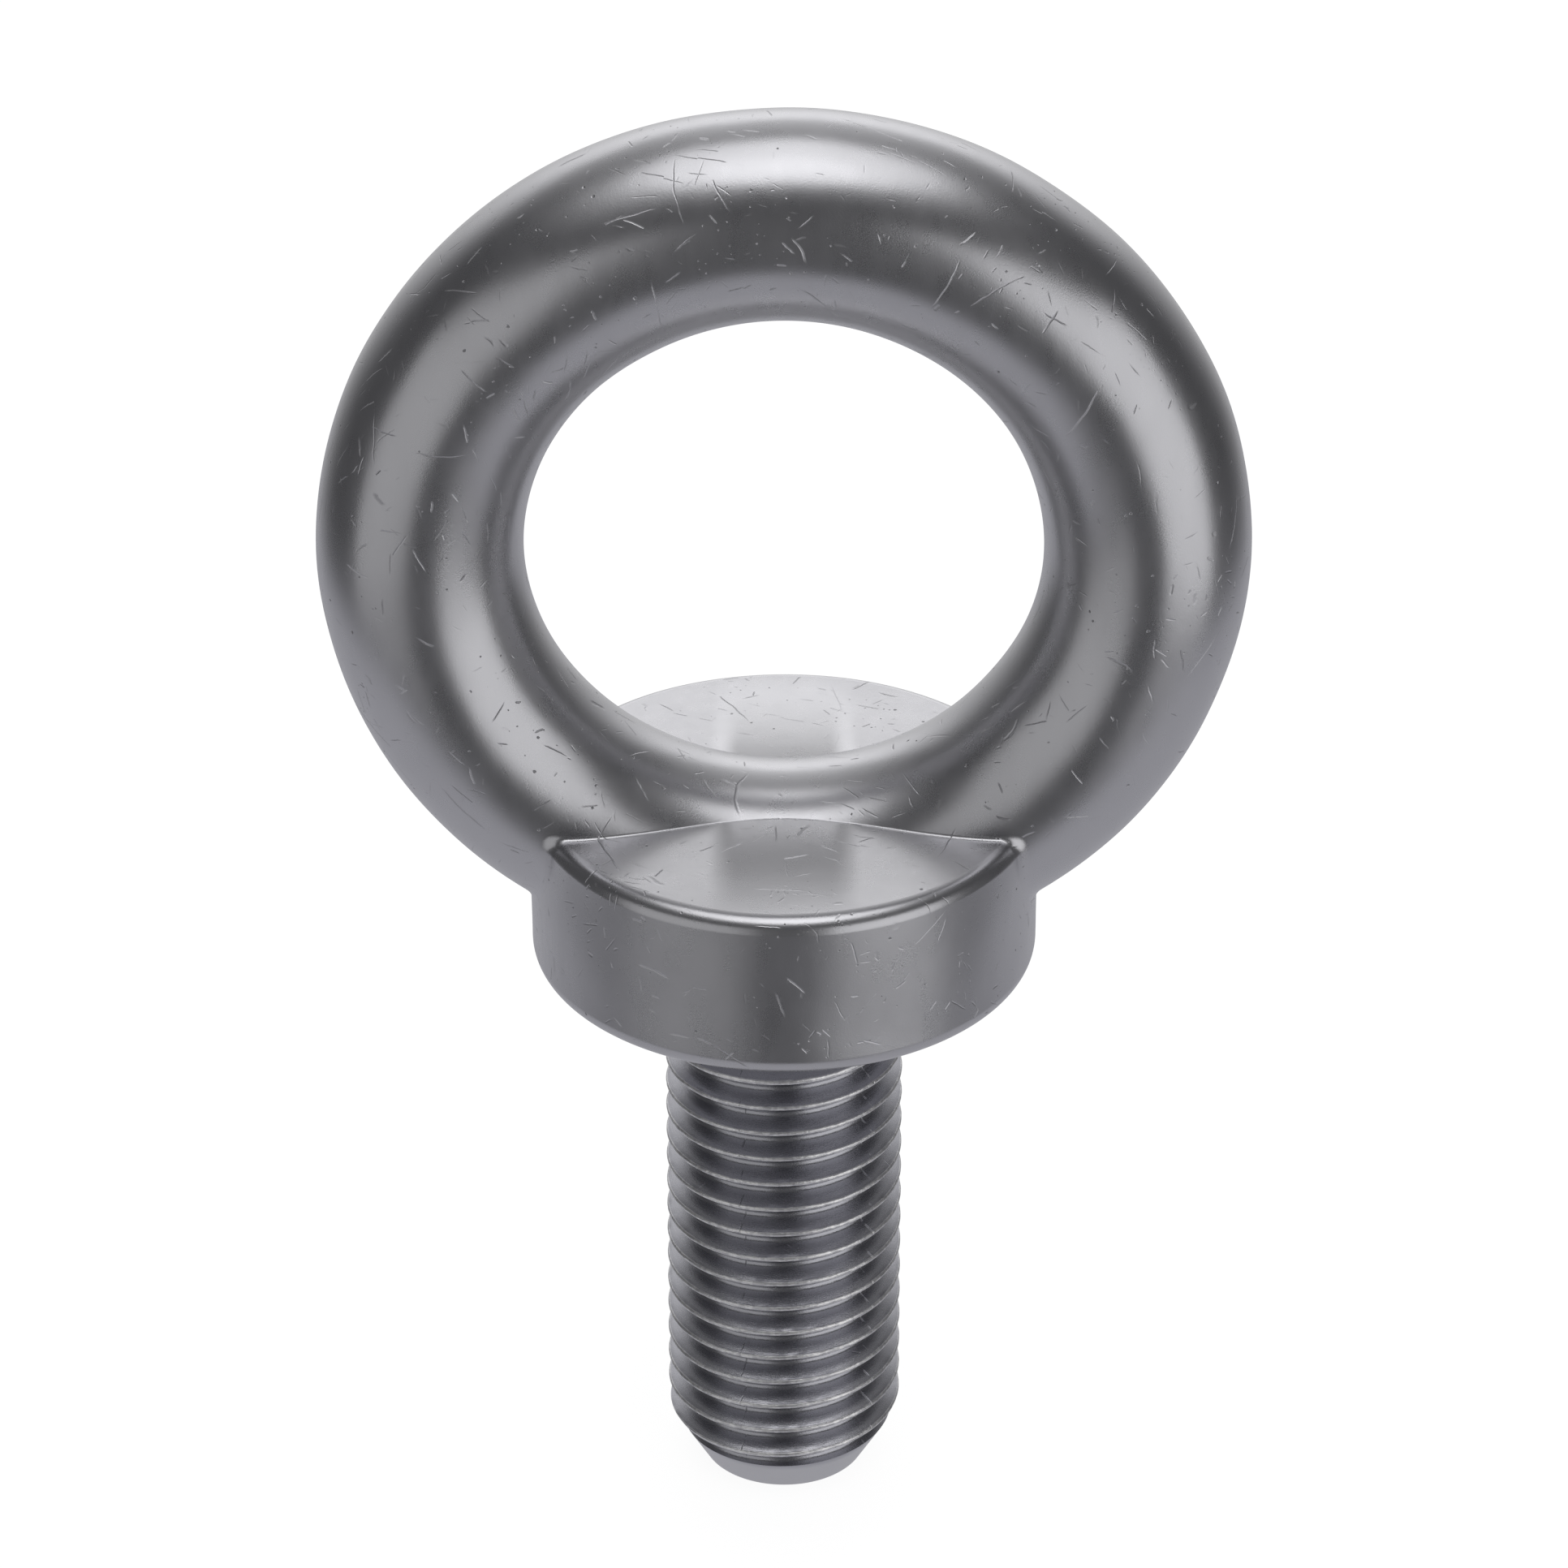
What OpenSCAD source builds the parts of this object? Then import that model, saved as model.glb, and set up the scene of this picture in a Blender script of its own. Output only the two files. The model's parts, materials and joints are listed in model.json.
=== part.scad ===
// Lifting eye bolt: a forged ring on a round collar, with a threaded shank below.
// The origin is the centre of the collar's bearing face, on the axis of the shank.
// +Z runs up through the eye, and the eye's own axis lies along Y.
// The bolt is one forging. Its nodes are the regions of that forging, each closed:
// the eye, the collar, the plain shank that reaches up inside the collar, and the thread.

/* [Eye] */
// Outside diameter of the eye
eye_outer_d = 90; // [86:1:94]
// Diameter of the opening in the eye
eye_inner_d = 50; // [48:1:52]

/* [Collar] */
// Diameter of the collar
collar_d = 50; // [46:1:54]
// Height of the collar, from its bearing face to its top
collar_h = 18; // [15:0.5:19]
// Radius of the collar's upper rim
collar_top_r = 1.6; // [0.5:0.1:2.5]
// Radius of the collar's lower edge
collar_bottom_r = 2; // [0.5:0.1:3]

/* [Shank] */
// Nominal diameter of the thread, and of the plain neck above it
thread_d = 24; // [20:1:27]
// Distance from the bearing face to the end of the shank
shank_len = 60; // [45:1:90]
// Length of the plain neck under the collar, root fillet included
neck_len = 4; // [3:0.5:6]
// Fillet between the neck and the bearing face
neck_fillet_r = 0.8; // [0.4:0.1:1.5]
// How far up inside the collar the shank's core reaches
core_len = 10; // [6:1:12]

/* [Thread] */
// Pitch of the right-hand thread
pitch = 3; // [2.5:0.5:3.5]
// Length of the cone at the end of the shank
tip_len = 6.2; // [5:0.1:7]
// Diameter of the flat end face
tip_d = 16.8; // [15:0.1:18]
// How far below nominal the crests are cut, on the diameter
crest_allowance = 0.2; // [0:0.05:0.4]

/* [Quality] */
// Flat facets round one turn of the thread
thread_steps = 48; // [36:4:56]

/* [Hidden] */
$fn = 128;

steel = "#8a8b90";
thread_steel = "#5c5d63";

bar_r = (eye_outer_d - eye_inner_d) / 4;
ring_r = (eye_outer_d - bar_r * 2) / 2;
// the ring just reaches down to the level of the bearing face, inside the collar
eye_z = eye_outer_d / 2;
collar_r = collar_d / 2;
neck_r = thread_d / 2;
root_r = neck_r + neck_fillet_r;
// cuts run this far past the faces they leave
slack = 1;

// ISO metric profile, down the thread from the upper edge of a crest:
// each point is [share of a pitch, share of the thread's depth]
profile = [[0, 0], [1 / 8, 0], [7 / 16, 15 / 17], [9 / 16, 1], [11 / 16, 15 / 17]];
crest_r = (thread_d - crest_allowance) / 2;
// a metric bolt's thread is cut this share of the pitch deep
depth_share = 0.61343;
thread_depth = depth_share * pitch - crest_allowance / 2;
// the helix keeps this clear of both ends of the thread, so that no facet is folded flat
end_gap = 0.1;
// where the helix starts, below the neck and round from +X
thread_top = -neck_len;
helix_z = thread_top - end_gap;
helix_angle = 90.5;
// the groove deepens from nothing over this share of the first turn
runout_turns = 0.8;
thread_turns = (shank_len + helix_z - end_gap) / pitch - profile[4][0];
last_step = floor(thread_turns * thread_steps);

// Radius of the cone at the end of the shank, at height z.
function cone_r(z) = tip_d / 2 + (neck_r - tip_d / 2) * (z + shank_len) / tip_len;

// Height of profile point m at helix step i.
function thread_z(i, m) = helix_z - pitch * (i / thread_steps + profile[m][0]);

// Share of the full depth that the groove has reached at step i.
function runout(i) = min(1, i / (runout_turns * thread_steps));

// Radius of profile point m at helix step i, held inside the end cone.
function thread_r(i, m) =
    min(crest_r - thread_depth * profile[m][1] * runout(i), cone_r(thread_z(i, m)));

function at(r, i, z) =
    [r * cos(helix_angle - 360 * i / thread_steps), r * sin(helix_angle - 360 * i / thread_steps), z];

// The eye: a round bar bent into a closed ring, cut away where the collar is.
module eye() {
    color(steel)
    difference() {
        translate([0, 0, eye_z])
        rotate([90, 0, 0])
        rotate_extrude()
        translate([ring_r, 0])
        circle(r = bar_r);
        collar_body();
    }
}

// What a quarter round of radius r takes off a square corner that points to +X and +Y.
module corner_cut(r) {
    difference() {
        square(r + slack);
        circle(r);
    }
}

// The collar's whole outline, filled to the axis.
module collar_body() {
    rotate_extrude()
    difference() {
        square([collar_r, collar_h]);
        translate([collar_r - collar_top_r, collar_h - collar_top_r])
        corner_cut(collar_top_r);
        translate([collar_r - collar_bottom_r, collar_bottom_r])
        mirror([0, 1])
        corner_cut(collar_bottom_r);
    }
}

// The collar, over the upper end of the shank.
module collar() {
    color(steel)
    difference() {
        collar_body();
        translate([0, 0, -slack])
        cylinder(r = root_r, h = core_len + slack);
    }
}

// The plain shank: the neck below the collar, its root fillet and the core inside the collar.
module shank() {
    color(steel)
    rotate_extrude()
    difference() {
        translate([0, thread_top])
        square([root_r, core_len - thread_top]);
        translate([neck_r, thread_top - slack])
        square([neck_fillet_r + slack, neck_len - neck_fillet_r + slack]);
        translate([root_r, -neck_fillet_r])
        circle(neck_fillet_r);
    }
}

// The threaded length: one helical band of facets from the neck to the end face.
module thread() {
    n = thread_steps;
    rows = len(profile);
    upper = [for (i = [0 : n - 1]) at(crest_r, i, thread_top)];
    lower = [for (i = [0 : n - 1]) at(tip_d / 2, i, -shank_len)];
    helix = [for (i = [0 : last_step]) for (m = [0 : rows - 1]) at(thread_r(i, m), i, thread_z(i, m))];

    // numbers of the points: the upper ring, the lower ring, then the helix
    function up(i) = i % n;
    function low(i) = n + i % n;
    function on(i, m) = 2 * n + i * rows + m;
    function two(a, b, c, d) = [[a, b, c], [a, c, d]];
    function fan(hub, rim) = [for (k = [0 : len(rim) - 2]) [hub, rim[k], rim[k + 1]]];

    band = [for (i = [0 : last_step - 1]) for (m = [0 : rows - 2])
        each two(on(i, m), on(i, m + 1), on(i + 1, m + 1), on(i + 1, m))];
    turn_to_turn = [for (i = [0 : last_step - n - 1])
        each two(on(i, rows - 1), on(i + n, 0), on(i + n + 1, 0), on(i + 1, rows - 1))];
    top_turn = [for (i = [0 : n - 2]) each two(up(i), on(i, 0), on(i + 1, 0), up(i + 1))];
    last_turn = [for (i = [last_step - n + 1 : last_step - 1])
        each two(on(i, rows - 1), low(i), low(i + 1), on(i + 1, rows - 1))];
    // where the helix starts and stops, its own profile closes the band
    start = fan(on(n - 1, 0),
        concat([on(n, 0)], [for (m = [rows - 1 : -1 : 0]) on(0, m)], [up(0), up(n - 1)]));
    stop = fan(on(last_step - n + 1, rows - 1),
        concat([on(last_step - n, rows - 1)], [for (m = [0 : rows - 1]) on(last_step, m)],
            [low(last_step), low(last_step + 1)]));

    color(thread_steel)
    polyhedron(
        points = concat(upper, lower, helix),
        faces = concat(
            [[for (i = [0 : n - 1]) up(i)]],
            [[for (i = [n - 1 : -1 : 0]) low(i)]],
            top_turn, start, band, turn_to_turn, last_turn, stop
        )
    );
}

eye();
collar();
shank();
thread();
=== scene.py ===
"""The looks of the lifting eye bolt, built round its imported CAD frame.

Lengths are in metres. The eye, the collar and the thread get finer meshes than the CAD solids they
stand for, with the small fillet where the ring runs into the collar. The plain shank stays as it is.
"""
import json
import math
import bpy
import bmesh
import numpy as np
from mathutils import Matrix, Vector


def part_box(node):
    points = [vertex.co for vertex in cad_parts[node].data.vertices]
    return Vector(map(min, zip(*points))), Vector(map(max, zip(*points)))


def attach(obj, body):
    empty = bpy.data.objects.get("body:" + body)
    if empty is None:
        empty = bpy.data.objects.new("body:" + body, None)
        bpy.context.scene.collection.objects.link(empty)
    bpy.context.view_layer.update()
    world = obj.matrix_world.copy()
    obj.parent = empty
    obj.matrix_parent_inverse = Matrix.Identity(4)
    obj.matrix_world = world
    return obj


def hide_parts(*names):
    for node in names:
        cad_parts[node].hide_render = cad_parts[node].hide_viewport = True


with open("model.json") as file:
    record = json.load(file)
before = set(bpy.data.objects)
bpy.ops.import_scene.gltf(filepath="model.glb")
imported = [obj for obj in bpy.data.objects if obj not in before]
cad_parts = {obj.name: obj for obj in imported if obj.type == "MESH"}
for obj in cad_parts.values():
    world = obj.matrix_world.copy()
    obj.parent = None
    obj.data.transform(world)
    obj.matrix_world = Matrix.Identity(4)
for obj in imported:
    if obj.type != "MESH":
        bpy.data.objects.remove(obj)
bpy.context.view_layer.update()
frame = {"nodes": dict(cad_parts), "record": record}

MM = 0.001
MOUNTS = {mount["name"]: mount for mount in frame["record"]["mounts"]}

# Sizes that the frame gives
EYE_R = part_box("eye")[1].x
BAR_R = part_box("eye")[1].y
RING_R = EYE_R - BAR_R
EYE_Z = MOUNTS["eye_opening"]["pos_m"][2]
COLLAR_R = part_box("collar")[1].x
COLLAR_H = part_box("collar")[1].z
CORE_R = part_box("shank")[1].x
CORE_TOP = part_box("shank")[1].z
NECK_R = MOUNTS["shank_neck"]["dims"]["r_mm"] * MM
THREAD_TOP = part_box("thread")[1].z
TIP_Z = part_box("thread")[0].z

# Roundings of the forging
RIM_R = 1.6 * MM
LOWER_EDGE_R = 2.0 * MM
# the fillet between the ring and the collar, along the collar's top and down its side
FILLET_R = 0.45 * MM
SIDE_FILLET_R = 1.7 * MM
# the distances along X between which it grows from one to the other
FILLET_GROWS = (20.8 * MM, 23.2 * MM)
# how far the fillet's edge and the middle of the eye's seat sink into the collar, out of sight
EDGE_INSET = 0.05 * MM
SEAT_INSET = 0.15 * MM
# the draft of the collar's top, which falls away from the ring to the front and the back
TOP_DRAFT = math.tan(math.radians(1.1))

# Where the collar's top runs softly into the eye, in the middle: how steeply its shading leans in front
# and what share of that it leans behind, then the distances along X between which the lean eases out,
# and those along Y between which it dies away
LEAN = math.tan(math.radians(20))
BACK_LEAN = 0.75
LEAN_X = (4.4 * MM, 7.6 * MM)
LEAN_Y = (6.0 * MM, 23.4 * MM)

# Forging unevenness: slow swells, with their lengths and their height as a share of their length
SWELLS = 28
SWELL_LENGTHS = (9 * MM, 24 * MM)
SWELL_HEIGHT = 0.0006
# the bearing face is machined, so the unevenness fades in over this height above it
MACHINED_FADE = 5 * MM

# Thread
PITCH = 3.0 * MM
CREST_R = NECK_R - 0.1 * MM
THREAD_DEPTH = 0.61343 * PITCH - 0.1 * MM
ROOT_ROUNDING = 0.62 * MM
CREST_ROUNDING = 0.3 * MM
# how deep the small chips in the crests are, as a standard deviation
CREST_CHIPS = 0.02 * MM
HELIX_Z = THREAD_TOP - 0.1 * MM
HELIX_ANGLE = math.radians(90.5)
# the groove deepens from nothing over this share of the first turn
RUNOUT_TURNS = 0.8
TIP_R = 8.4 * MM
TIP_LENGTH = 6.2 * MM

# Camera: where it stands, how far down it looks, and its lens on a 36 mm sensor
CAMERA_AT = Vector((0, -0.5598, 0.3404))
CAMERA_DOWN = 29.9
CAMERA_LENS = 150.9


# ---------------------------------------------------------------- mesh helpers

def new_piece(name, points, faces, normals=None):
    """A smooth-shaded mesh object, its faces turned outwards.

    normals, one to a point, replace the shading's own.
    """
    mesh = bpy.data.meshes.new(name)
    mesh.from_pydata([tuple(p) for p in points], [], [tuple(f) for f in faces])
    turn_outwards(mesh)
    mesh.shade_smooth()
    if normals is not None:
        mesh.normals_split_custom_set_from_vertices([tuple(n) for n in normals])
    piece = bpy.data.objects.new(name, mesh)
    bpy.context.scene.collection.objects.link(piece)
    return piece


def turn_outwards(mesh):
    """Turns every face of a closed mesh outwards."""
    work = bmesh.new()
    work.from_mesh(mesh)
    bmesh.ops.recalc_face_normals(work, faces=work.faces)
    work.to_mesh(mesh)
    work.free()


def quads(index, closed=False):
    """The faces between the rows of a grid of point numbers.

    In a closed grid the last column meets the first.
    """
    left = index
    right = np.roll(index, -1, axis=1)
    if not closed:
        left, right = left[:, :-1], right[:, :-1]
    return np.stack([left[:-1], right[:-1], right[1:], left[1:]], -1).reshape(-1, 4).tolist()


def fan(pole, ring):
    """The triangles between a point and a closed ring of points, by their numbers."""
    return [(pole, a, b) for a, b in zip(ring, np.roll(ring, -1))]


def spin(flat, steps):
    """Rows of (radius, height) points, each turned into a ring of steps points round the axis."""
    turns = np.arange(steps) * 2 * math.pi / steps
    side = [np.outer(flat[:, 0], np.cos(turns)), np.outer(flat[:, 0], np.sin(turns))]
    return np.stack(side + [np.repeat(flat[:, 1:], steps, 1)], -1).reshape(-1, 3)


def lathe(name, outline, steps):
    """A closed body turned from an outline of (radius, height) points, with its ends on the axis."""
    outline = np.array(outline)
    rows = len(outline) - 2
    index = np.arange(rows * steps).reshape(rows, steps)
    faces = quads(index, closed=True) + fan(rows * steps, index[0]) + fan(rows * steps + 1, index[-1])
    poles = [(0, 0, outline[0, 1]), (0, 0, outline[-1, 1])]
    return new_piece(name, np.concatenate([spin(outline[1:-1], steps), poles]), faces)


def arc(centre, radius, start, end, steps):
    """Points (radius, height) along an arc from start to end in degrees, and the direction out at each."""
    angles = np.radians(np.linspace(start, end, steps + 1))
    out = np.stack([np.cos(angles), np.sin(angles)], -1)
    return np.asarray(centre) + radius * out, out


# ---------------------------------------------------------------- forging unevenness

def uneven(points, normals):
    """Lifts a forged surface by a few hundredths of a millimetre, and tilts its normals to suit."""
    rng = np.random.default_rng(7)
    lift = np.zeros(len(points))
    slope = np.zeros_like(points)
    for _ in range(SWELLS):
        wavelength = rng.uniform(*SWELL_LENGTHS)
        wave = rng.normal(size=3)
        wave *= 2 * math.pi / wavelength / np.linalg.norm(wave)
        phase = points @ wave + rng.uniform(0, 2 * math.pi)
        height = SWELL_HEIGHT * wavelength
        lift += height * np.sin(phase)
        slope += height * np.cos(phase)[:, None] * wave
    slope -= (slope * normals).sum(1, keepdims=True) * normals
    tilted = normals - slope
    return points + lift[:, None] * normals, tilted / np.linalg.norm(tilted, axis=1, keepdims=True)


# ---------------------------------------------------------------- collar

def collar_outline():
    """The collar's outline, from the middle of its top to its bearing face, and the direction out."""
    rim, rim_out = arc((COLLAR_R - RIM_R, COLLAR_H - RIM_R), RIM_R, 90, 0, 14)
    edge, edge_out = arc((COLLAR_R - LOWER_EDGE_R, LOWER_EDGE_R), LOWER_EDGE_R, 0, -90, 14)
    top = [(r, COLLAR_H) for r in np.linspace(0, COLLAR_R - RIM_R, 28)[:-1]]
    side = [(COLLAR_R, z) for z in np.linspace(COLLAR_H - RIM_R, LOWER_EDGE_R, 18)[1:-1]]
    face = [(r, 0) for r in np.linspace(COLLAR_R - LOWER_EDGE_R, CORE_R, 12)[1:]]
    points = np.concatenate([top, rim, side, edge, face])
    up, sideways, down = [(0, 1)] * len(top), [(1, 0)] * len(side), [(0, -1)] * len(face)
    return points, np.concatenate([up, rim_out, sideways, edge_out, down])


def ease(value, low, high):
    """From 0, at low and under, to 1, at high and over."""
    share = np.clip((value - low) / (high - low), 0, 1)
    return share * share * (3 - 2 * share)


def fall(points):
    """How far the collar's top has fallen at points of it."""
    return TOP_DRAFT * np.maximum(abs(points[:, 1]) - LEAN_Y[0], 0)


def lean(points):
    """How much the top's normals lean along Y at points of it."""
    beside = ease(abs(points[:, 0]), *LEAN_X)
    reach = np.clip((LEAN_Y[1] - abs(points[:, 1])) / (LEAN_Y[1] - LEAN_Y[0]), 0, 1)
    soft = LEAN * (1 - beside) * reach
    return np.where(points[:, 1] < 0, -TOP_DRAFT - soft, TOP_DRAFT + BACK_LEAN * soft)


def leaning(points, normals):
    """The normals, leaning where they are on the collar's top."""
    result = normals.copy()
    result[:, 1] += lean(points) * (normals[:, 2] > 0.99)
    return result / np.linalg.norm(result, axis=1, keepdims=True)


def collar_distance(points):
    """How far points lie outside the collar, and the direction from it. Its side runs on downwards here."""
    across = np.hypot(points[:, 0], points[:, 1])
    sideways = across - (COLLAR_R - RIM_R)
    upwards = points[:, 2] + fall(points) - (COLLAR_H - RIM_R)
    out = np.stack([np.maximum(sideways, 0), np.maximum(upwards, 0)], -1)
    beyond = np.hypot(out[:, 0], out[:, 1])
    distance = np.minimum(np.maximum(sideways, upwards), 0) + beyond - RIM_R
    out /= np.maximum(beyond, 1e-9)[:, None]
    around = points[:, :2] / across[:, None]
    return distance, np.concatenate([out[:, :1] * around, out[:, 1:]], 1)


def make_collar():
    """The collar, over the pocket that the shank's core fills."""
    outline, out = collar_outline()
    steps = 288
    flat, plain = spin(outline[1:], steps), spin(out[1:], steps)
    points, normals = uneven(flat, plain)
    hold = ease(flat[:, 2:], 0, MACHINED_FADE)
    points = flat + hold * (points - flat)
    # the top's fall carries the side's upper part down with it
    points[:, 2] -= fall(flat) * ease(flat[:, 2], COLLAR_H - 8 * MM, COLLAR_H - RIM_R)
    normals = leaning(flat, plain + hold * (normals - plain))

    rows = len(outline) - 1
    index = np.arange(rows * steps).reshape(rows, steps)
    top = len(points)
    faces = quads(index, closed=True) + fan(top, index[0])
    # the pocket's wall and roof
    roof = top + 1 + np.arange(steps)
    faces += quads(np.stack([index[-1], roof]), closed=True) + fan(top + 1 + steps, roof)

    summit = [(0, 0, points[:steps, 2].mean())]
    roof_points = spin(np.array([(CORE_R, CORE_TOP)]), steps)
    points = np.concatenate([points, summit, roof_points, [(0, 0, CORE_TOP)]])
    normals = np.concatenate([normals, [(0, 0, 1)], np.tile([0.0, 0.0, -1.0], (steps + 1, 1))])
    return new_piece("collar_forging", points, faces, normals)


# ---------------------------------------------------------------- eye

def ring_point(along, round_bar):
    """Points on the ring, with the direction out at each.

    along goes from +X towards the ring's top, and round_bar from the bar's outside towards +Y.
    """
    outwards = np.cos(round_bar)
    out = np.stack([outwards * np.cos(along), np.sin(round_bar), outwards * np.sin(along)], -1)
    middle = RING_R * np.stack([np.cos(along), np.zeros_like(along), np.sin(along)], -1)
    return middle + BAR_R * out + np.array([0, 0, EYE_Z]), out


def spaced(stops):
    """Angles in degrees from stop to stop. Each stop gives its angle and the steps to the next one."""
    parts = [np.linspace(a, b, steps, endpoint=False) for (a, steps), (b, _) in zip(stops, stops[1:])]
    return np.concatenate(parts)


def fillet_start(edge_along, edge_round, radius):
    """Where a rolling ball touches the ring, on the way from the middle of the joint to points round it."""
    low, high = np.zeros(len(edge_along)), np.ones(len(edge_along))
    bottom = -math.pi / 2
    for _ in range(40):
        share = (low + high) / 2
        point, out = ring_point(bottom + share * edge_along, share * edge_round)
        distance = collar_distance(point + radius[:, None] * out)[0]
        clear = distance > radius
        high = np.where(clear, share, high)
        low = np.where(clear, low, share)
    return high


def between(a, b, share):
    """Unit vectors on the way from a to b, at a share of the angle between them."""
    angle = np.arccos(np.clip((a * b).sum(-1, keepdims=True), -1, 1))
    return (np.sin((1 - share) * angle) * a + np.sin(share * angle) * b) / np.sin(angle)


def joint_loops(edge_along, edge_round):
    """Loops of points, with normals, from an edge on the ring in to the joint and just into the collar."""
    bottom = -math.pi / 2
    start = fillet_start(edge_along, edge_round, np.full(len(edge_along), FILLET_R))
    touch = ring_point(bottom + start * edge_along, start * edge_round)[0]
    radius = FILLET_R + (SIDE_FILLET_R - FILLET_R) * ease(abs(touch[:, 0]), *FILLET_GROWS)
    start = fillet_start(edge_along, edge_round, radius)

    loops, loop_normals = [], []
    # down the ring to where the fillet starts, closest together next to the edge
    for share in np.linspace(0, 1, 15)[1:] ** 1.6:
        place = 1 + (start - 1) * share
        point, out = ring_point(bottom + place * edge_along, place * edge_round)
        loops.append(point)
        loop_normals.append(out)
    # round the fillet to the collar
    ring_side = loop_normals[-1]
    radius = radius[:, None]
    centre = loops[-1] + radius * ring_side
    collar_side = collar_distance(centre)[1]
    shaded = leaning(centre, collar_side)
    for share in np.linspace(0, 1, 9)[1:]:
        loops.append(centre - radius * between(ring_side, collar_side, share))
        loop_normals.append(between(ring_side, shaded, share))
    loops.append(loops[-1] - EDGE_INSET * collar_side)
    loop_normals.append(shaded)
    return loops, loop_normals


def add_seat(points, normals, rim):
    """The face where the eye sits on the collar: lines across it from the back of its rim to the front."""
    half = len(rim) // 2
    back, front = rim[1:half], rim[:half:-1]
    back_points, front_points = points[back], points[front]
    back_r = np.hypot(back_points[:, 0], back_points[:, 1])
    front_r = np.hypot(front_points[:, 0], front_points[:, 1])
    on_side = back_points[:, 2] < COLLAR_H - 0.1 * MM
    columns = [back]
    for share in np.linspace(0, 1, 11)[1:-1]:
        point = back_points * (1 - share) + front_points * share
        # on the collar's side the lines follow it round, a little inside it
        beside = back_r * (1 - share) + front_r * share - 4 * share * (1 - share) * SEAT_INSET
        around = np.sign(point[:, 0]) * np.sqrt(np.maximum(beside**2 - point[:, 1]**2, 0))
        point[:, 0] = np.where(on_side, around, point[:, 0])
        columns.append(len(points) + np.arange(len(point)))
        points = np.concatenate([points, point])
        normals = np.concatenate([normals, np.tile([0.0, 0.0, -1.0], (len(point), 1))])
    columns.append(front)
    seat = np.stack(columns, 1)
    faces = quads(seat)
    for row, end in ((seat[0], rim[0]), (seat[-1], rim[half])):
        faces += [(end, a, b) for a, b in zip(row[:-1], row[1:])]
    return points, normals, faces


def make_eye():
    """The ring, the fillet that runs it into the collar, and the face where it sits on the collar."""
    count_along = 288
    # the joint lies inside these angles, in degrees along the ring and round its bar
    reach_along, reach_round = 50, 165
    along = np.radians(np.arange(count_along) * 360 / count_along - 90)
    stops = [(-165, 16), (-125, 44), (-88, 34), (0, 34), (88, 44), (125, 16), (165, 12), (195, 0)]
    round_bar = np.radians(spaced(stops))
    grid_along, grid_round = np.meshgrid(along, round_bar, indexing="ij")
    points, normals = ring_point(grid_along.ravel(), grid_round.ravel())
    index = np.arange(len(points)).reshape(grid_along.shape)

    # the ring's own grid, open round the joint with the collar
    reach = round(reach_along / 360 * count_along)
    side = int(np.argmin(abs(round_bar - math.radians(reach_round))))
    rows = np.roll(index, reach, axis=0)
    whole = np.concatenate([rows[2 * reach:], rows[:1]])
    strip = np.concatenate([rows[:2 * reach + 1, side:], rows[:2 * reach + 1, :1]], axis=1)
    faces = quads(whole, closed=True) + quads(strip)

    # the edge of that opening, from +X round by +Y
    middle = (side + 1) // 2
    edge = np.concatenate([rows[2 * reach, middle:side + 1], rows[2 * reach - 1:0:-1, side],
                           rows[0, side::-1], rows[1:2 * reach, 0], rows[2 * reach, :middle]])
    edge_along = (grid_along.ravel()[edge] + math.pi / 2 + math.pi) % (2 * math.pi) - math.pi
    edge_round = grid_round.ravel()[edge]

    loops, loop_normals = joint_loops(edge_along, edge_round)
    joint = len(points) + np.arange(len(loops) * len(edge)).reshape(len(loops), len(edge))
    faces += quads(np.concatenate([edge[None], joint]), closed=True)
    points, normals = uneven(np.concatenate([points] + loops), np.concatenate([normals] + loop_normals))
    points, normals, seat_faces = add_seat(points, normals, joint[-1])
    return new_piece("eye_forging", points, faces + seat_faces, normals)


# ---------------------------------------------------------------- thread

def thread_profile():
    """One pitch of the thread from the middle of a crest: how far down each point is, and how deep."""
    crest = np.radians([0, 15, 30, 45, 60])
    inset = PITCH / 16 - CREST_ROUNDING * math.tan(math.radians(30))
    corner = np.stack([inset + CREST_ROUNDING * np.sin(crest), CREST_ROUNDING * (1 - np.cos(crest))], -1)
    root = np.radians(np.linspace(-60, 60, 9))
    groove = np.stack([ROOT_ROUNDING * np.sin(root), ROOT_ROUNDING * (np.cos(root) - 1)], -1)
    groove += (PITCH / 2, THREAD_DEPTH)
    flank = [corner[-1] + (groove[0] - corner[-1]) * share for share in (1 / 3, 2 / 3)]
    half = np.concatenate([[(0, 0)], corner, flank, groove[:5]])
    other = half[-2:0:-1] * (-1, 1) + (PITCH, 0)
    return np.concatenate([half, other])


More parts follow.
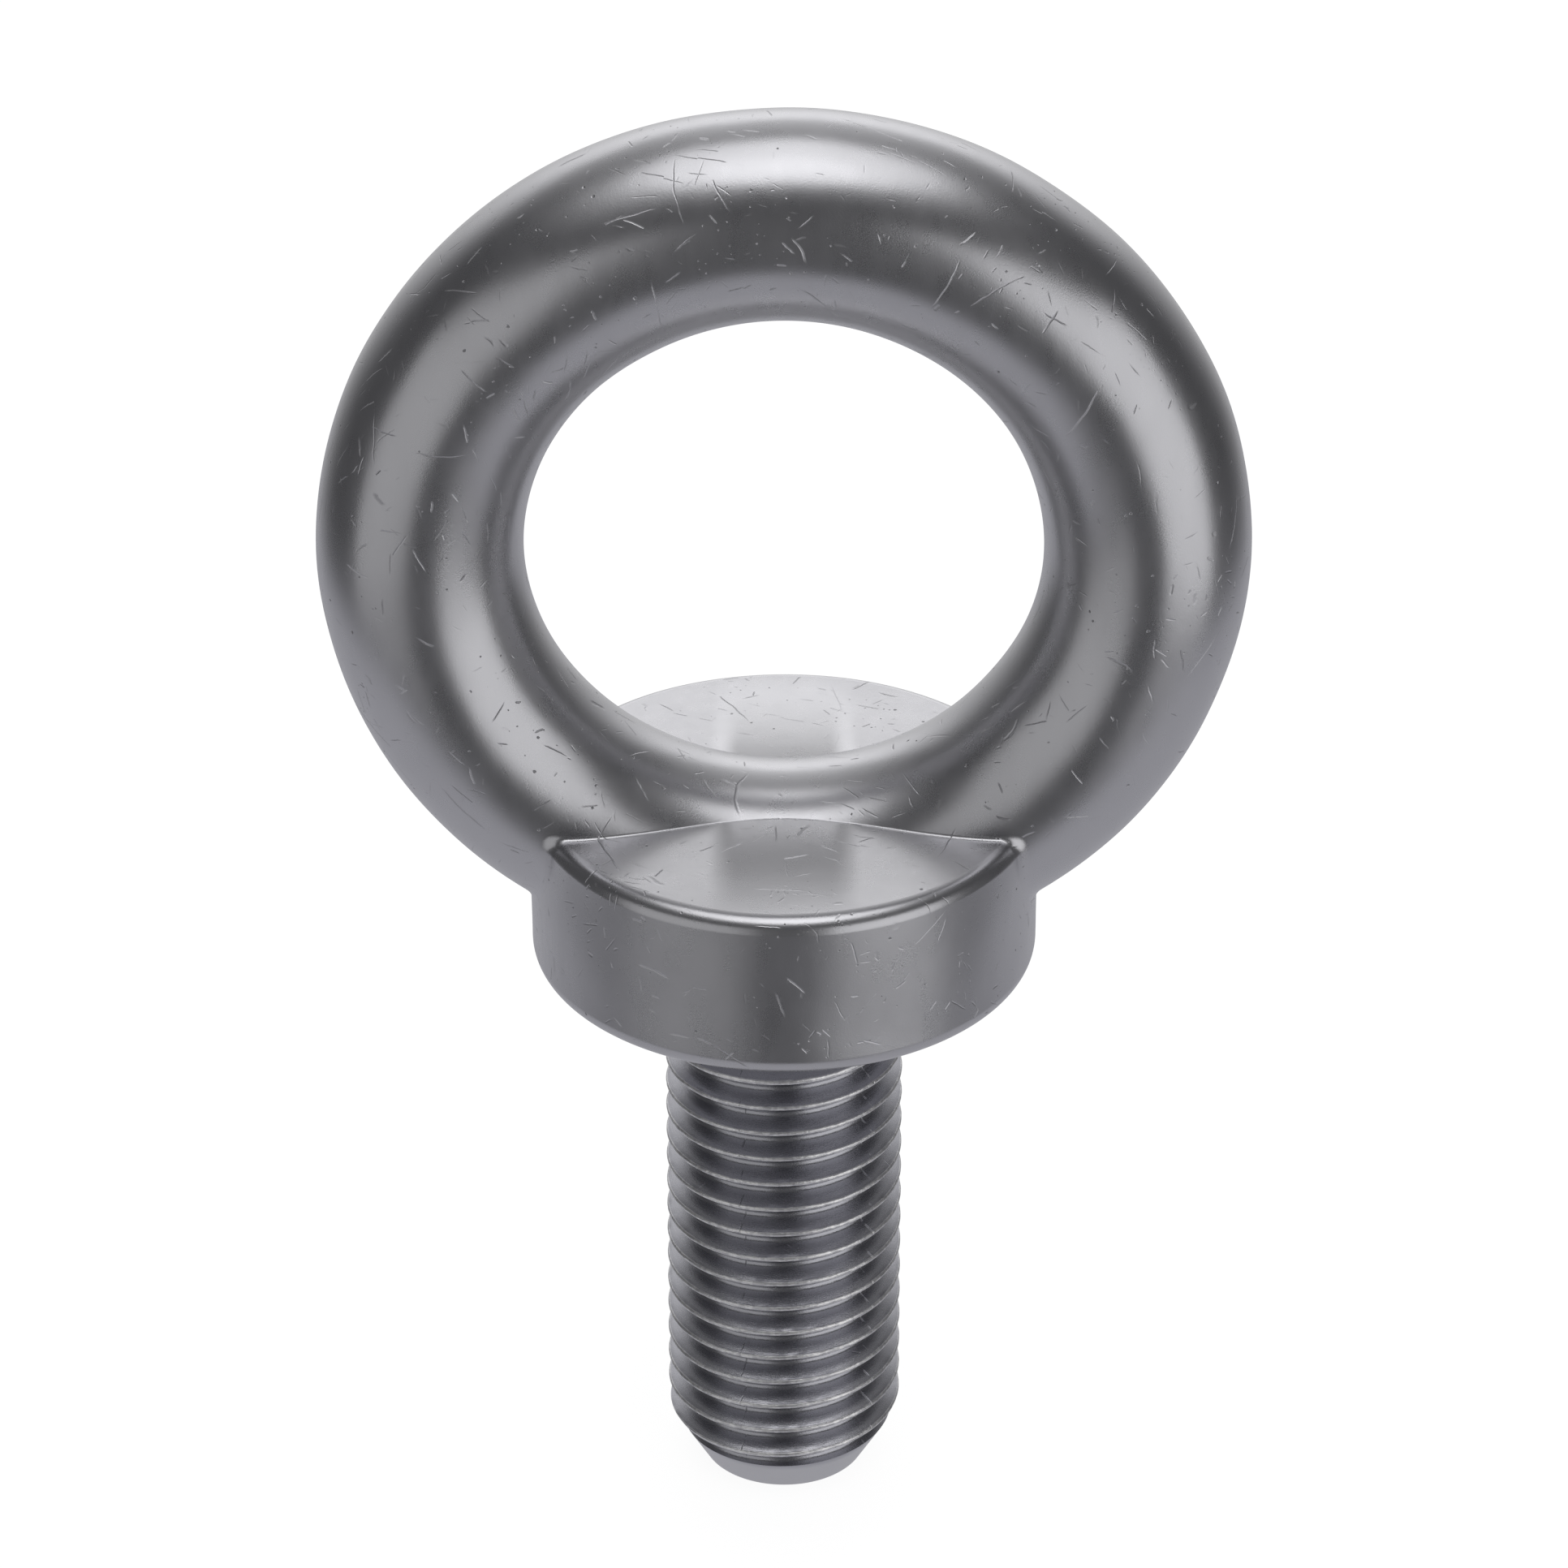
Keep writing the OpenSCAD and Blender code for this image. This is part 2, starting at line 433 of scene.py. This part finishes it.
def threaded_bar():
    """The threaded bar before its ends are cut: one helical band, with a fan to the axis at each end."""
    steps = 150
    turns_above, turns = 2, 23
    profile = thread_profile()
    size = len(profile)
    count = steps * turns
    turn = np.arange(count) / steps - turns_above
    depth = np.clip(turn / RUNOUT_TURNS, 0, 1)
    angle = HELIX_ANGLE - 2 * math.pi * turn
    radius = CREST_R - depth[:, None] * profile[None, :, 1]
    chips = np.random.default_rng(3).normal(size=radius.shape) * CREST_CHIPS
    radius -= abs(chips) * (profile[None, :, 1] < 0.2 * MM)
    height = HELIX_Z - PITCH / 16 - PITCH * turn[:, None] - profile[None, :, 0]
    points = np.stack([radius * np.cos(angle)[:, None], radius * np.sin(angle)[:, None], height], -1)
    index = np.arange(count * size).reshape(count, size)
    below = np.concatenate([index[:-steps], index[steps:, :1]], axis=1)
    faces = quads(below) + quads(index[-steps - 1:])
    upper = list(index[:steps + 1, 0]) + list(index[0, :0:-1])
    lower = list(index[-steps - 1:, -1]) + list(index[-1, -2::-1])
    ends = []
    for loop in (upper, lower):
        pole = count * size + len(ends)
        heights = points.reshape(-1, 3)[loop][:, 2]
        ends.append((0, 0, (heights.min() + heights.max()) / 2))
        faces += fan(pole, loop)
    return new_piece("threaded_bar", np.concatenate([points.reshape(-1, 3), ends]), faces)


def make_thread():
    """The thread, cut square at the neck and by the cone and the flat face at its end."""
    bar = threaded_bar()
    wide = NECK_R + 0.5 * MM
    slope = (NECK_R - TIP_R) / TIP_LENGTH
    cone_top = TIP_Z + (wide - TIP_R) / slope
    outline = [(0, THREAD_TOP), (wide, THREAD_TOP), (wide, cone_top), (TIP_R, TIP_Z), (0, TIP_Z)]
    stock = lathe("stock", outline, 144)
    cut = bar.modifiers.new("ends", "BOOLEAN")
    cut.operation = "INTERSECT"
    cut.solver = "MANIFOLD"
    cut.object = stock
    view = bpy.context.evaluated_depsgraph_get()
    mesh = bpy.data.meshes.new_from_object(bar.evaluated_get(view))
    for spare in (bar, stock):
        bpy.data.objects.remove(spare)
    mesh.name = "cut_thread"
    mesh.shade_smooth()
    mesh.set_sharp_from_angle(angle=math.radians(32))
    piece = bpy.data.objects.new("cut_thread", mesh)
    bpy.context.scene.collection.objects.link(piece)
    return piece


# ---------------------------------------------------------------- material nodes

def add(tree, kind, inputs=None, **settings):
    """A new node. settings are its properties, and inputs are values or sockets by name or number."""
    made = tree.nodes.new(kind)
    for key, value in settings.items():
        setattr(made, key, value)
    for key, value in (inputs or {}).items():
        if isinstance(value, bpy.types.NodeSocket):
            tree.links.new(value, made.inputs[key])
        else:
            made.inputs[key].default_value = value
    return made


def calc(tree, operation, a, b=0.0, c=0.0):
    """An operation on up to three numbers or sockets."""
    return add(tree, "ShaderNodeMath", {0: a, 1: b, 2: c}, operation=operation).outputs[0]


def vector(tree, operation, a, b=(0, 0, 0), scale=None):
    """An operation on vectors. It gives a number where the operation does."""
    inputs = {0: a, 1: b}
    if scale is not None:
        inputs["Scale"] = scale
    made = add(tree, "ShaderNodeVectorMath", inputs, operation=operation)
    gives_number = operation in ("DOT_PRODUCT", "LENGTH", "DISTANCE")
    return made.outputs["Value" if gives_number else "Vector"]


def ramp(tree, value, low, high, to_low=0.0, to_high=1.0):
    """value eased from to_low, at low and under, to to_high, at high and over."""
    inputs = {"Value": value, "From Min": low, "From Max": high, "To Min": to_low, "To Max": to_high}
    return add(tree, "ShaderNodeMapRange", inputs, interpolation_type="SMOOTHSTEP").outputs["Result"]


def noise(tree, where, size, detail=2.0, roughness=0.5):
    """Noise from 0 to 1 with features of about this size."""
    inputs = {"Vector": where, "Scale": 1 / size, "Detail": detail, "Roughness": roughness}
    return add(tree, "ShaderNodeTexNoise", inputs).outputs["Fac"]


def shaken(tree, where, size, amount):
    """The place moved about by noise of this size, by up to half of this amount."""
    shift = add(tree, "ShaderNodeTexNoise", {"Vector": where, "Scale": 1 / size, "Detail": 1.0})
    shift = vector(tree, "SUBTRACT", shift.outputs["Color"], (0.5, 0.5, 0.5))
    return vector(tree, "ADD", where, vector(tree, "SCALE", shift, scale=amount))


def parts_of(tree, value):
    """The three numbers of a vector."""
    return add(tree, "ShaderNodeSeparateXYZ", {0: value}).outputs


def cells(tree, where, size):
    """The middle of the cell that a point is in, and two sets of three random numbers for that cell."""
    middle = add(tree, "ShaderNodeTexVoronoi", {"Vector": where, "Scale": 1 / size}).outputs["Position"]
    first = add(tree, "ShaderNodeTexWhiteNoise", {"Vector": middle}).outputs["Color"]
    second = add(tree, "ShaderNodeTexWhiteNoise", {"Vector": vector(tree, "ADD", middle, (0.3, 0.5, 0.7))})
    return middle, first, parts_of(tree, second.outputs["Color"])


def scratches(tree, where, cell, length, width, share, lie=(0, 0, 0)):
    """From 0 to 1: scratches in this share of the cells, each along a plane through its cell's middle.

    The planes face every way, or mostly along lie.
    """
    middle, turn, (kept, longer, deeper) = cells(tree, where, cell)
    offset = vector(tree, "SUBTRACT", where, middle)
    plane = vector(tree, "ADD", vector(tree, "SUBTRACT", turn, (0.5, 0.5, 0.5)), lie)
    across = calc(tree, "ABSOLUTE", vector(tree, "DOT_PRODUCT", offset, vector(tree, "NORMALIZE", plane)))
    line = ramp(tree, across, 0.0, width, 1.0, 0.0)
    reach = calc(tree, "MULTIPLY_ADD", longer, length * 0.35, length * 0.15)
    along = calc(tree, "DIVIDE", vector(tree, "LENGTH", offset), reach)
    line = calc(tree, "MULTIPLY", line, ramp(tree, along, 0.5, 1.0, 1.0, 0.0))
    depth = calc(tree, "MULTIPLY_ADD", deeper, 0.7, 0.3)
    return calc(tree, "MULTIPLY", calc(tree, "MULTIPLY", line, depth), calc(tree, "LESS_THAN", kept, share))


def pits(tree, where, cell, radius, share):
    """From 0 to 1: small dents in this share of the cells."""
    middle, _turn, (kept, wider, _deeper) = cells(tree, where, cell)
    edge = calc(tree, "MULTIPLY_ADD", wider, radius * 0.7, radius * 0.3)
    away = calc(tree, "DIVIDE", vector(tree, "DISTANCE", where, middle), edge)
    hollow = ramp(tree, away, 0.3, 1.0, 1.0, 0.0)
    return calc(tree, "MULTIPLY", hollow, calc(tree, "LESS_THAN", kept, share))


def total(tree, *parts):
    """The sum of value times amount, over (value, amount) pairs."""
    result = 0.0
    for value, amount in parts:
        result = calc(tree, "MULTIPLY_ADD", value, amount, result)
    return result


def from_axis(tree, x, y):
    """How far a point is from the bolt's axis."""
    squares = total(tree, (calc(tree, "MULTIPLY", x, x), 1.0), (calc(tree, "MULTIPLY", y, y), 1.0))
    return calc(tree, "SQRT", squares)


def new_material(name):
    """An empty material, with its node tree."""
    material = bpy.data.materials.new(name)
    material.use_nodes = True
    material.node_tree.nodes.clear()
    return material, material.node_tree


def finish_material(tree, colour, roughness, height):
    """A metal from its colour, its roughness and its relief in millimetres."""
    bump = add(tree, "ShaderNodeBump", {"Height": height, "Strength": 1.0, "Distance": MM})
    inputs = {"Base Color": colour, "Roughness": roughness, "Metallic": 1.0}
    shader = add(tree, "ShaderNodeBsdfPrincipled", inputs)
    tree.links.new(bump.outputs["Normal"], shader.inputs["Normal"])
    output = add(tree, "ShaderNodeOutputMaterial")
    tree.links.new(shader.outputs["BSDF"], output.inputs["Surface"])


def mix_colours(tree, share, first, second):
    """first, with this share of second in it."""
    made = add(tree, "ShaderNodeMix", {0: share, 6: first, 7: second}, data_type="RGBA")
    return made.outputs[2]


# ---------------------------------------------------------------- materials

def turned_lines(tree, place):
    """From 0 to 1: fine turning lines on the bearing face and everything below it."""
    x, y, z = parts_of(tree, place)
    outline = add(tree, "ShaderNodeCombineXYZ", {0: from_axis(tree, x, y), 1: z}).outputs[0]
    turned = ramp(tree, z, 0.05 * MM, 0.3 * MM, 1.0, 0.0)
    return calc(tree, "MULTIPLY", noise(tree, outline, 0.14 * MM, 1.0), turned)


def forged_marks(tree, place, busy, rubbed):
    """From 0 to 1: scratches everywhere, more nicks where busy, and hairs that lie one way where rubbed."""
    bent = shaken(tree, shaken(tree, place, 3 * MM, 0.45 * MM), 0.4 * MM, 0.07 * MM)
    # a shift gives each kind cells of its own
    short_place = vector(tree, "ADD", bent, (0.3, 0.2, 0.1))
    nick_place = vector(tree, "ADD", bent, (0.1, 0.7, 0.4))
    long_marks = scratches(tree, bent, 7 * MM, 9 * MM, 0.09 * MM, 0.6)
    short_marks = scratches(tree, short_place, 3.0 * MM, 3.6 * MM, 0.085 * MM, 0.55)
    nicks = scratches(tree, nick_place, 1.6 * MM, 1.5 * MM, 0.1 * MM, 0.6)
    nicks = calc(tree, "MULTIPLY", nicks, calc(tree, "MULTIPLY_ADD", busy, 0.75, 0.25))
    hairs = scratches(tree, bent, 2.4 * MM, 5 * MM, 0.06 * MM, 0.7, lie=(0.8, 2.4, 0.6))
    hairs = calc(tree, "MULTIPLY", hairs, rubbed)
    scored = calc(tree, "MAXIMUM", long_marks, short_marks)
    return calc(tree, "MAXIMUM", scored, calc(tree, "MAXIMUM", nicks, hairs))


def forged_pits(tree, place, busy):
    """From 0 to 1: ragged pits, with small ones crowded together where busy."""
    ragged = shaken(tree, place, 0.3 * MM, 0.2 * MM)
    dents = pits(tree, ragged, 1.3 * MM, 0.2 * MM, 0.3)
    crowded = calc(tree, "MULTIPLY", pits(tree, ragged, 0.7 * MM, 0.14 * MM, 0.45), busy)
    return calc(tree, "MAXIMUM", dents, crowded)


def forged_steel():
    """Forged and tumbled steel: a satin grain with pits, nicks, scratches and rubbed patches."""
    material, tree = new_material("forged_steel")
    place = add(tree, "ShaderNodeTexCoord").outputs["Object"]
    busy = ramp(tree, noise(tree, place, 12 * MM, 1.0), 0.48, 0.66)
    rub_place = vector(tree, "ADD", place, (0.2, 0.4, 0.1))
    rubbed = ramp(tree, noise(tree, rub_place, 9 * MM, 1.0), 0.52, 0.66)
    marks = forged_marks(tree, place, busy, rubbed)
    holes = forged_pits(tree, place, busy)
    lines = turned_lines(tree, place)

    grain = noise(tree, place, 0.16 * MM, 2.0, 0.65)
    coarse = noise(tree, place, 0.6 * MM, 2.0, 0.5)
    upright = vector(tree, "MULTIPLY", place, (1, 1, 0.3))
    waves = noise(tree, upright, 3.0 * MM, 1.0)
    # how high each of these stands, in millimetres
    cuts = total(tree, (marks, -0.045), (holes, -0.05))
    height = total(tree, (cuts, 1.0), (grain, 0.007), (coarse, 0.002), (waves, 0.014), (lines, 0.02))

    blotches = noise(tree, place, 9 * MM, 3.0, 0.6)
    streaks = noise(tree, upright, 2.2 * MM, 2.0, 0.6)
    colour = mix_colours(tree, blotches, (0.475, 0.473, 0.492, 1), (0.53, 0.528, 0.55, 1))
    colour = mix_colours(tree, calc(tree, "MULTIPLY", holes, 0.45), colour, (0.1, 0.1, 0.1, 1))
    dull = calc(tree, "MAXIMUM", marks, holes)
    roughness = total(tree, (blotches, 0.06), (streaks, 0.08), (dull, 0.3), (grain, 0.04))
    finish_material(tree, colour, calc(tree, "ADD", roughness, 0.195), height)
    return material


def line_along(tree, angle, degrees, width):
    """From 0 to 1: a line along the bolt, at this angle round it and this many degrees wide."""
    away = calc(tree, "ABSOLUTE", calc(tree, "SUBTRACT", angle, math.radians(degrees)))
    return ramp(tree, away, 0.0, math.radians(width), 1.0, 0.0)


def thread_steel():
    """Cut thread: dark flanks with fine lines along the helix, crests rubbed bright, and a turned cone."""
    material, tree = new_material("thread_steel")
    place = add(tree, "ShaderNodeTexCoord").outputs["Object"]
    x, y, z = parts_of(tree, place)
    radius = from_axis(tree, x, y)
    angle = calc(tree, "ARCTAN2", y, x)
    unwound = calc(tree, "MULTIPLY_ADD", angle, PITCH / (2 * math.pi), z)
    around = calc(tree, "MULTIPLY", angle, 1.2 * MM)
    along = add(tree, "ShaderNodeCombineXYZ", {0: radius, 1: unwound, 2: around}).outputs[0]
    lines = noise(tree, along, 0.1 * MM, 2.0, 0.6)
    grain = noise(tree, place, 0.16 * MM, 2.0, 0.65)
    coarse = noise(tree, place, 0.7 * MM, 2.0, 0.6)

    # the crests are rubbed bright in patches, but hardly under the collar
    crest = ramp(tree, radius, CREST_R - 0.2 * MM, CREST_R - 0.08 * MM)
    rub = ramp(tree, coarse, 0.4, 0.6)
    worn = calc(tree, "MULTIPLY", crest, calc(tree, "MULTIPLY_ADD", rub, 0.45, 0.55))
    worn = calc(tree, "MULTIPLY", worn, ramp(tree, z, THREAD_TOP - 3 * MM, THREAD_TOP - MM, 1.0, 0.15))
    burrs = calc(tree, "MULTIPLY", crest, noise(tree, place, 0.3 * MM, 2.0, 0.7))
    cone = ramp(tree, z, TIP_Z + 3.0 * MM, TIP_Z + 4.2 * MM, 1.0, 0.0)
    nicks = scratches(tree, place, 2.2 * MM, 1.6 * MM, 0.05 * MM, 0.35)

    # two broken lines down the thread, which stop at the cone
    marks = calc(tree, "MAXIMUM", line_along(tree, angle, -112, 0.5), line_along(tree, angle, -41, 0.7))
    broken = ramp(tree, noise(tree, place, 1.1 * MM, 1.0), 0.45, 0.6)
    broken = calc(tree, "MULTIPLY", broken, calc(tree, "SUBTRACT", 1.0, cone))
    marks = calc(tree, "MULTIPLY", marks, broken)

    blotches = noise(tree, place, 4 * MM, 3.0, 0.6)
    dark = mix_colours(tree, blotches, (0.365, 0.365, 0.395, 1), (0.465, 0.465, 0.5, 1))
    bright = calc(tree, "MAXIMUM", worn, calc(tree, "MULTIPLY", cone, 0.5))
    colour = mix_colours(tree, bright, dark, (0.82, 0.815, 0.82, 1))
    # how high each of these stands, in millimetres
    height = total(tree, (lines, 0.01), (grain, 0.007), (nicks, -0.012), (marks, -0.03), (burrs, 0.04))
    roughness = total(tree, (blotches, 0.06), (lines, 0.06), (marks, 0.2), (cone, 0.12), (crest, 0.1))
    finish_material(tree, colour, calc(tree, "ADD", roughness, 0.21), height)
    return material


# ---------------------------------------------------------------- stage

def paint(piece, *materials):
    """The piece wears these materials, and no others."""
    piece.data.materials.clear()
    for material in materials:
        piece.data.materials.append(material)


def make_floor():
    """A pale floor under the end of the shank. The reflections hold the world's own floor instead."""
    mesh = bpy.data.meshes.new("floor")
    far = 4.0
    corners = [(-far, -far), (far, -far), (far, far), (-far, far)]
    mesh.from_pydata([(x, y, TIP_Z) for x, y in corners], [], [(0, 1, 2, 3)])
    floor = bpy.data.objects.new("floor", mesh)
    bpy.context.scene.collection.objects.link(floor)
    material, tree = new_material("floor")
    inputs = {"Base Color": (0.2, 0.2, 0.2, 1), "Roughness": 0.9, "Specular IOR Level": 0.0,
              "Emission Color": (1, 1, 1, 1), "Emission Strength": 0.92}
    shader = add(tree, "ShaderNodeBsdfPrincipled", inputs)
    output = add(tree, "ShaderNodeOutputMaterial")
    tree.links.new(shader.outputs["BSDF"], output.inputs["Surface"])
    paint(floor, material)
    floor.visible_glossy = False
    floor.visible_shadow = False


def softbox(name, azimuth, elevation, wide, tall, brightness, shape="RECTANGLE"):
    """A panel of light, placed and sized in degrees as seen from the bolt.

    Azimuth 0 is behind the bolt, and 90 is to its +X side.
    """
    away = 1.6
    turn, rise = math.radians(azimuth), math.radians(elevation)
    toward = Vector((math.sin(turn) * math.cos(rise), math.cos(turn) * math.cos(rise), math.sin(rise)))
    light = bpy.data.lights.new(name, "AREA")
    light.shape = shape
    light.size = 2 * away * math.tan(math.radians(wide / 2))
    light.size_y = 2 * away * math.tan(math.radians(tall / 2))
    area = light.size * light.size_y * (math.pi / 4 if shape == "ELLIPSE" else 1)
    light.energy = brightness * math.pi * area
    panel = bpy.data.objects.new(name, light)
    panel.location = toward * away
    panel.rotation_euler = toward.to_track_quat("Z", "Y").to_euler()
    panel.visible_camera = False
    bpy.context.scene.collection.objects.link(panel)


def make_lights():
    """Soft light overhead and a little to the front, and a panel on each side of the front."""
    softbox("overhead", 180, 86, 57, 54, 1.17, "ELLIPSE")
    softbox("overhead_front", 180, 74, 30, 32, 0.45, "ELLIPSE")
    softbox("left_panel", -136, -3, 57, 54, 0.49)
    softbox("right_panel", 134, -2.5, 54, 55, 0.96)


def back_glow(tree, side, back, up):
    """The glow behind the bolt: brightest straight behind it, up to some 30 degrees above level."""
    level = vector(tree, "NORMALIZE", add(tree, "ShaderNodeCombineXYZ", {0: side, 1: back}).outputs[0])
    ahead = calc(tree, "MULTIPLY_ADD", parts_of(tree, level)[1], 1.25, -0.25)
    spread = calc(tree, "POWER", calc(tree, "MAXIMUM", ahead, 0.0), 2.6)
    rising = ramp(tree, up, -0.15, 0.45, 0.66, 1.5)
    stepped = ramp(tree, up, 0.485, 0.55, 1.0, 0.4)
    fading = ramp(tree, up, 0.66, 0.86, 1.0, 0.15)
    upwards = calc(tree, "MULTIPLY", rising, calc(tree, "MULTIPLY", stepped, fading))
    return calc(tree, "MULTIPLY", spread, upwards)


def make_world():
    """White where the camera sees it. The reflections show a dim studio: a glow behind, a paler floor."""
    world = bpy.data.worlds.new("studio")
    bpy.context.scene.world = world
    world.use_nodes = True
    tree = world.node_tree
    tree.nodes.clear()
    direction = add(tree, "ShaderNodeTexCoord").outputs["Generated"]
    side, back, up = parts_of(tree, direction)
    below = ramp(tree, calc(tree, "MULTIPLY_ADD", back, -0.2, up), -0.62, -0.44, 1.0, 0.0)
    dim = mix_colours(tree, below, (0.09, 0.09, 0.093, 1), (0.5, 0.5, 0.53, 1))
    glow = calc(tree, "MULTIPLY", back_glow(tree, side, back, up), calc(tree, "SUBTRACT", 1.0, below))
    ceiling = ramp(tree, up, 0.6, 0.9, 0.0, 0.2)
    added = {0: 1.0, 6: dim, 7: calc(tree, "ADD", glow, ceiling)}
    lit = add(tree, "ShaderNodeMix", added, data_type="RGBA", blend_type="ADD").outputs[2]
    studio = add(tree, "ShaderNodeBackground", {"Color": lit})
    backdrop = add(tree, "ShaderNodeBackground", {"Color": (0.98, 0.98, 0.98, 1)})
    seen = add(tree, "ShaderNodeLightPath").outputs["Is Camera Ray"]
    mixed = add(tree, "ShaderNodeMixShader", {0: seen, 1: studio.outputs[0], 2: backdrop.outputs[0]})
    output = add(tree, "ShaderNodeOutputWorld")
    tree.links.new(mixed.outputs[0], output.inputs["Surface"])


def make_camera():
    """The camera, a little above the bolt and in front of it."""
    data = bpy.data.cameras.new("camera")
    data.sensor_width = 36
    data.lens = CAMERA_LENS
    data.clip_start = 0.02
    camera = bpy.data.objects.new("camera", data)
    camera.location = CAMERA_AT
    camera.rotation_euler = (math.radians(90 - CAMERA_DOWN), 0, 0)
    bpy.context.scene.collection.objects.link(camera)
    bpy.context.scene.camera = camera
    bpy.context.scene.view_settings.view_transform = "Standard"


# ---------------------------------------------------------------- the scene

make_camera()
make_world()
make_floor()
make_lights()

steel = forged_steel()
cut_steel = thread_steel()
for made, node, slot, material in (
    (make_eye(), "eye", "forged_steel", steel),
    (make_collar(), "collar", "forged_steel", steel),
    (make_thread(), "thread", "thread_steel", cut_steel),
):
    paint(made, material)
    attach(made, "root")
    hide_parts(node)
paint(frame["nodes"]["shank"], steel)
